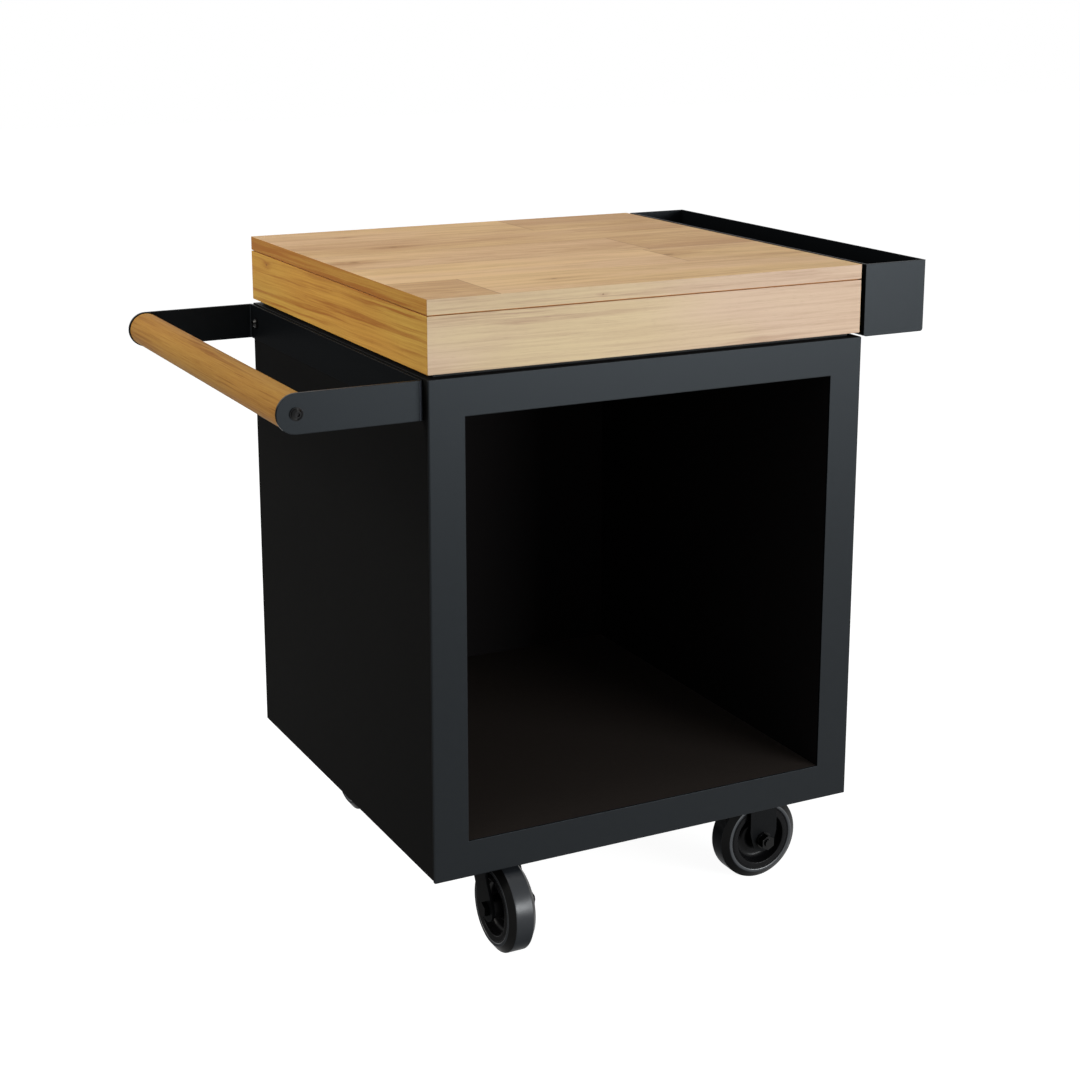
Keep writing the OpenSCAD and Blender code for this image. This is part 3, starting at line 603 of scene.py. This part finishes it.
# Rows of the board from the front. Each stave: where it starts, in mm from the left, then in
# metres its pith as (across, depth, slope) and its knot as (along, across, size), and its tone
BOARD_ROWS = [
    [(0.0, (0.05, -0.05, 0.1), NO_KNOT, 0.5),
     (100.0, (0.085, -0.09, 0.03), (0.115, 0.078, 0.006), 0.03)],
    [(0.0, (0.3, -0.1, 0.0), NO_KNOT, -0.06),
     (453.0, (0.2, -0.03, 0.05), (0.008, 0.072, 0.011), 0.22)],
    [(0.0, (0.07, -0.055, 0.10), (0.036, 0.066, 0.010), 0.25),
     (465.0, (0.02, -0.12, -0.02), NO_KNOT, 0.45)],
    [(0.0, (0.11, -0.075, -0.04), (0.145, 0.055, 0.008), 0.4)],
    [(0.0, (0.25, -0.14, 0.02), (0.118, 0.05, 0.004), 0.15),
     (410.0, (0.04, -0.06, 0.08), NO_KNOT, 0.4)],
]

# Far off the pith the rings run as straight lines
END_PITH = (0.5, -0.2, 0.0)
SIDE_PITH = (0.5, -0.2, 0.01)
# The left edge of the board darkens between these distances from the front, by this much
LEFT_FADE = (0.3, 0.45, 0.3)


def edge_skins():
    """The long grain of the worktop's four sides, shared by board edges and aprons, each
    cut some metres farther along the log."""
    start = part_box("front_apron")[0]
    fade = (start.y + LEFT_FADE[0], start.y + LEFT_FADE[1], LEFT_FADE[2])
    # Each side's axes, start, offset, pith, knot, tone and material
    return {
        "front": Skin(FRONT_AXES, start, 21.0, END_PITH, (0.245, 0.083, 0.002), 0.12, FRONT_SHEEN),
        "back": Skin(FRONT_AXES, start, 23.0, END_PITH, NO_KNOT, 0.16, FRONT_SHEEN),
        "left": Skin(SIDE_AXES, start, 25.0, SIDE_PITH, (0.585, 0.06, 0.004), 0.22, SIDE_SHADE),
        "right": Skin(SIDE_AXES, start, 27.0, SIDE_PITH, NO_KNOT, 0.25, SIDE_SHADE),
        "left_board": Skin(SIDE_AXES, start, 29.0, SIDE_PITH, NO_KNOT, 0.58, SIDE_SHADE, fade=fade),
    }


def side_of(normal):
    """Which of the four sides a face is turned to, if any."""
    if normal.y < -ON_SIDE:
        return "front"
    if normal.y > ON_SIDE:
        return "back"
    if normal.x < -ON_SIDE:
        return "left"
    return "right" if normal.x > ON_SIDE else None


def add_board(materials, edges):
    sides = {"front": edges["front"], "back": edges["back"],
             "left": edges["left_board"], "right": edges["right"]}
    for number, staves in enumerate(BOARD_ROWS, start=1):
        node = f"board_row_{number}"
        low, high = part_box(node)
        near, far = low.y, high.y
        starts = [low.x + stave[0] * MM for stave in staves]
        ends = starts[1:] + [high.x]
        made = WoodMesh()
        for place, (left, right, stave) in enumerate(zip(starts, ends, staves)):
            pith, knot, tone = stave[1:]
            # Which sides are glued to another stave: near, right, far, left
            glued = (number > 1, place < len(staves) - 1, number < len(BOARD_ROWS), place > 0)
            joined = [side for side, met in enumerate(glued) if met]
            joints = (left if glued[3] else None, right if glued[1] else None,
                      near if glued[0] else None)
            offset = ROW_APART * number + STAVE_APART * place
            top = Skin(TOP_AXES, (left, near, low.z), offset, pith, knot, tone, TOP, joints)
            corners = [(left, near), (right, near), (right, far), (left, far)]
            faces = prism(made.mesh, corners, low.z, high.z, WOOD_EDGE, joined)
            made.cut(faces, lambda normal: sides.get(side_of(normal), top))
        finish_piece(made.mesh, node + "_wood", materials, "root", node)


# Aprons are mitred at both ends and cut back in a groove under the board
APRON_T = 0.022
GROOVE_DEPTH = 0.004
GROOVE_H = 0.0014
GROOVE_EDGE = 0.0002


def add_apron(side, materials, edges):
    node = side + "_apron"
    low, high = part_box(node)
    run = 0 if side in ("front", "rear") else 1
    other = 1 - run
    outer_is_low = side in ("front", "left")

    def plan(cut):
        """The mitred outline, its outer side cut back, anticlockwise."""
        outer = low[other] + cut if outer_is_low else high[other] - cut
        inner = low[other] + APRON_T if outer_is_low else high[other] - APRON_T
        points = [(low[run] + cut, outer), (high[run] - cut, outer),
                  (high[run] - APRON_T, inner), (low[run] + APRON_T, inner)]
        if run == 1:
            points = [(b, a) for a, b in points]
        following = points[1:] + points[:1]
        turn = sum(a[0] * b[1] - b[0] * a[1] for a, b in zip(points, following))
        return points if turn > 0 else list(reversed(points))

    skin = edges["back" if side == "rear" else side]
    made = WoodMesh()
    body = prism(made.mesh, plan(0.0), low.z, high.z - GROOVE_H, WOOD_EDGE)
    lip = prism(made.mesh, plan(GROOVE_DEPTH), high.z - GROOVE_H, high.z, GROOVE_EDGE)
    made.cut(body + lip, lambda normal: skin)
    # The lip and the ledge under it take the groove wood, its painted shade
    for face in lip + [face for face in body if face.normal.z > ON_TOP]:
        face.material_index = GROOVE
    finish_piece(made.mesh, node + "_wood", materials, "root", node)


# The bar stops short of the bracket's arms and has a blind bore at each end for its screw
BAR_EASE = 0.0012
BAR_GAP = 0.0004
BAR_BORE = 0.0045
BAR_BORE_L = 0.03
BAR_PARTS = 24


def add_bar(material):
    """The handle bar: a turned rod with eased ends."""
    low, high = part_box("handle_bar")
    middle = (low + high) / 2
    radius = (high.x - low.x) / 2
    half = (high.y - low.y) / 2 - BAR_GAP
    profile = [(BAR_BORE, half - BAR_BORE_L, 0, 0), (BAR_BORE, half, 0, 0),
               (radius, half, BAR_EASE, 0), (radius, 0.0, 0, 0)]
    end = [point for point, tag in eased(profile)][:-1]
    length = [(radius, half * (1 - 2 * i / BAR_PARTS)) for i in range(1, BAR_PARTS)]
    made = WoodMesh()
    rings = lathe(made.mesh, end + length + [(r, -y) for r, y in reversed(end)], middle, 1)
    through = [face for face in made.mesh.faces
               if set(face.verts) & set(rings[0]) and set(face.verts) & set(rings[-1])]
    bmesh.ops.delete(made.mesh, geom=through, context="FACES_ONLY")
    made.mesh.faces.new(rings[0])
    made.mesh.faces.new(rings[-1])
    bmesh.ops.recalc_face_normals(made.mesh, faces=made.mesh.faces)
    start = (middle.x, low.y, middle.z)
    skin = Skin(BAR_AXES, start, offset=7.3, pith=(0.09, -0.03, 0.02), knot=NO_KNOT, tone=0.2,
                index=0)
    made.cut(made.mesh.faces, lambda normal: skin)
    finish_piece(made.mesh, "handle_bar_wood", [material], "root",
                 "handle_bar", sharp=40)


def dress_wood():
    board = wood("board_wood", pale=color(0.665, 0.455, 0.235),
                 blush=color(0.645, 0.435, 0.255), dark=color(0.375, 0.208, 0.095),
                 rings=0.10, streaks=0.24, clouds=0.3, bands=1.1)
    # Front and back faces: paler and greyer than the top, the wood's own tone with a painted
    # sheen
    front = wood("front_wood", pale=color(0.72, 0.56, 0.34), blush=color(0.71, 0.52, 0.375),
                 dark=color(0.46, 0.29, 0.20), rings=0.03, streaks=0.42, clouds=0.2,
                 wavy=0.3, reach=2.5)
    # Side faces: darker and more golden than the top, the wood's own tone with painted shade
    side = wood("side_wood_shade", pale=color(0.585, 0.37, 0.078), blush=color(0.60, 0.335, 0.07),
                dark=color(0.35, 0.14, 0.03), rings=0.05, streaks=0.6, clouds=0.15,
                wavy=0.4, reach=2.0, rough=0.6)
    bar = wood("bar_wood", pale=color(0.38, 0.212, 0.048), blush=color(0.395, 0.198, 0.045),
               dark=color(0.22, 0.088, 0.018), rings=0.05, streaks=0.5, clouds=0.2,
               wavy=0.4, reach=3.5, rough=0.65)
    worktop = [board, front, side, groove_wood("groove_wood")]
    assign("corner_blocks", groove_wood("block_wood"))
    edges = edge_skins()
    add_board(worktop, edges)
    for apron in ("front", "rear", "left", "right"):
        add_apron(apron, worktop, edges)
    add_bar(bar)


# Wheels

# In mm from the wheel's middle: radius, half width, easing, and a tag for how pale and shiny
# it is, partly scuffing and partly a painted sheen on the lip and tread. The tyre's last point
# only gives the corner before it its direction
TYRE_SIDE = [
    (47.55, 18.6, 0.0, 0.0), (47.55, 19.4, 0.4, 0.0), (48.7, 20.6, 1.4, 1.8),
    (52.1, 20.6, 1.4, 1.8), (53.2, 19.7, 0.4, 0.0), (61.9, 13.0, 0.4, 0.0),
    (62.4, 12.3, 0.4, 0.8), (62.5, 10.5, 1.0, 0.8), (62.5, 0.0, 0.0, 0.8),
]
CORE_SIDE = [
    (10.05, 21.6, 0.0, 0.0), (10.7, 22.2, 0.4, 0.0), (14.6, 22.2, 1.2, 0.0),
    (17.6, 4.5, 6.0, 0.0), (34.6, 4.5, 8.0, 0.0), (38.6, 19.8, 1.4, 0.0),
    (45.4, 19.8, 0.3, 0.0), (45.7, 19.1, 0.3, 0.0), (46.6, 19.1, 0.3, 0.0),
    (46.9, 19.8, 0.3, 0.0), (47.5, 19.5, 0.0, 0.0),
]


def add_wheel_part(corner, part, half, material):
    """A tyre or core, turned from one side's profile and its mirror."""
    low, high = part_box(corner + "_tyre")
    axis = 0 if "left" in corner else 1
    loop = [point for point, tag in half] + [(r, -w) for (r, w), tag in reversed(half)]
    tags = [tag for point, tag in half + half[::-1]]
    mesh = bmesh.new()
    wear_and_sheen = mesh.verts.layers.float.new("wear_and_sheen")
    for ring, tag in zip(lathe(mesh, loop, (low + high) / 2, axis), tags):
        for vert in ring:
            vert[wear_and_sheen] = tag
    finish_piece(mesh, f"{corner}_{part}_turned", [material], corner + "_wheel",
                 f"{corner}_{part}", sharp=35)


def dress_wheels():
    # The second, paler and bluer colour: partly scuffing, partly a painted sheen on the lip
    # and tread
    tyre_black = rubber("tyre_rubber", color(0.008, 0.008, 0.008), color(0.019, 0.022, 0.026))
    core_black = black_gloss("core_black", color(0.005, 0.005, 0.0055), rough=0.26,
                             level=0.08, edge=0.0002)
    tyre, core = [eased([(r * MM, w * MM, ease * MM, tag) for r, w, ease, tag in side])
                  for side in (TYRE_SIDE, CORE_SIDE)]
    for corner in ("front_left", "back_left", "front_right", "back_right"):
        add_wheel_part(corner, "tyre", tyre[:-1], tyre_black)
        add_wheel_part(corner, "wheel_core", core, core_black)


# Steel

FRAME_BLACK = color(0.004, 0.0047, 0.0055)
FRAME_SHEEN = {"rough": 0.38, "level": 0.165, "matt": 0.0015, "tint": color(0.82, 0.92, 1.0)}


def dress_steel():
    by_slot = {
        "frame_steel": powder_coat("frame_coat", FRAME_BLACK, **FRAME_SHEEN),
        "panel_steel": powder_coat("panel_coat", color(0.0068, 0.0068, 0.0068), rough=0.5,
                                   level=0.13, matt=0.0016),
        "liner_steel": powder_coat("liner_coat", color(0.012, 0.0105, 0.0105), rough=0.55,
                                   level=0.01, matt=0.01),
        "caster_steel": black_gloss("caster_steel", color(0.005, 0.0054, 0.006), rough=0.36,
                                    level=0.05, edge=0.0006),
        "black_fasteners": black_gloss("black_hardware", color(0.003, 0.003, 0.0033),
                                       rough=0.1, level=0.17, edge=0.0002),
        "bearing_steel": polished("ground_steel", color(0.55, 0.56, 0.58)),
    }
    for part in frame["record"]["subparts"]:
        if part["material_slot"] in by_slot:
            assign(part["node"], by_slot[part["material_slot"]])
    assign("liner_floor", powder_coat("liner_floor_coat", color(0.036, 0.029, 0.025),
                                      rough=0.5, level=0.1, matt=0.1))
    # The bracket's bends get a painted highlight, lighter than the coat, where they stay in
    # shade
    assign("handle_bracket", powder_coat("bracket_coat", FRAME_BLACK, **FRAME_SHEEN,
                                         bend_highlight=color(0.12, 0.135, 0.165)))


# Floor and light

FLOOR_REACH = 14.0
FLOOR_TONE = 0.35
SKY_LEVEL = 0.2
# The floor's own glow and the sky's light on it add up to this, a little over white
FLOOR_WHITE = 1.02


def seen_by_eye(nodes):
    """1 for rays that show the background or its reflection, 0 for the light it gives."""
    path = nodes.add("LightPath")
    straight = nodes.math("MAXIMUM", path.outputs["Is Camera Ray"],
                          path.outputs["Is Transmission Ray"])
    return nodes.math("MAXIMUM", straight, path.outputs["Is Glossy Ray"])


def add_floor():
    """A pale floor that reads white where it is lit and keeps the table's soft shadow."""
    mesh = bmesh.new()
    bmesh.ops.create_grid(mesh, x_segments=1, y_segments=1, size=FLOOR_REACH)
    data = bpy.data.meshes.new("floor")
    mesh.to_mesh(data)
    mesh.free()
    floor = bpy.data.objects.new("floor", data)
    bpy.context.scene.collection.objects.link(floor)
    s = Shader("floor_white")
    s.set(Base_Color=color(FLOOR_TONE, FLOOR_TONE, FLOOR_TONE), Roughness=0.9,
          Specular_IOR_Level=0.0, Emission_Color=color(1.0, 1.0, 1.0))
    s.set(Emission_Strength=s.times(seen_by_eye(s), FLOOR_WHITE - FLOOR_TONE * SKY_LEVEL))
    data.materials.append(s.material)


def add_world():
    """White where it is seen, a soft even sky where it gives light."""
    world = bpy.data.worlds.new("studio")
    bpy.context.scene.world = world
    world.use_nodes = True
    nodes = NodeTree(world.node_tree)
    mix = nodes.add("MixShader")
    nodes.link(seen_by_eye(nodes), mix.inputs[0])
    lights = ((color(0.95, 0.98, 1.0), SKY_LEVEL), (color(1.0, 1.0, 1.0), 1.0))
    for place, (tint, strength) in enumerate(lights, start=1):
        background = nodes.add("Background")
        background.inputs["Color"].default_value = tint
        background.inputs["Strength"].default_value = strength
        nodes.link(background.outputs[0], mix.inputs[place])
    nodes.link(mix.outputs[0], nodes.add("OutputWorld").inputs["Surface"])


def add_softbox(name, place, aim, size, power, spread=180.0, tint=(1.0, 1.0, 1.0)):
    data = bpy.data.lights.new(name, "AREA")
    data.shape = "RECTANGLE"
    data.size, data.size_y = size
    data.energy = power
    data.spread = math.radians(spread)
    data.color = tint
    lamp = bpy.data.objects.new(name, data)
    lamp.location = place
    lamp.rotation_euler = (Vector(aim) - Vector(place)).to_track_quat("-Z", "Y").to_euler()
    bpy.context.scene.collection.objects.link(lamp)


def add_lights():
    """A low key at the right in front, which the satin paint mirrors, and two soft fills."""
    add_softbox("key", place=(2.25, -4.3, 1.0), aim=(0.0, -0.3, 0.6), size=(2.6, 1.4),
                power=190.0, tint=(0.95, 0.98, 1.0))
    add_softbox("top", place=(0.1, 0.3, 3.0), aim=(0.05, 0.0, 0.8), size=(2.0, 2.0),
                power=27.0)
    add_softbox("left", place=(-2.3, 0.4, 1.8), aim=(-0.2, 0.0, 0.7), size=(1.2, 1.6),
                power=16.0, spread=110.0, tint=(1.0, 0.95, 0.88))


def main():
    bpy.context.scene.view_settings.view_transform = "Standard"
    add_camera()
    dress_steel()
    dress_wood()
    dress_wheels()
    add_floor()
    add_world()
    add_lights()


main()
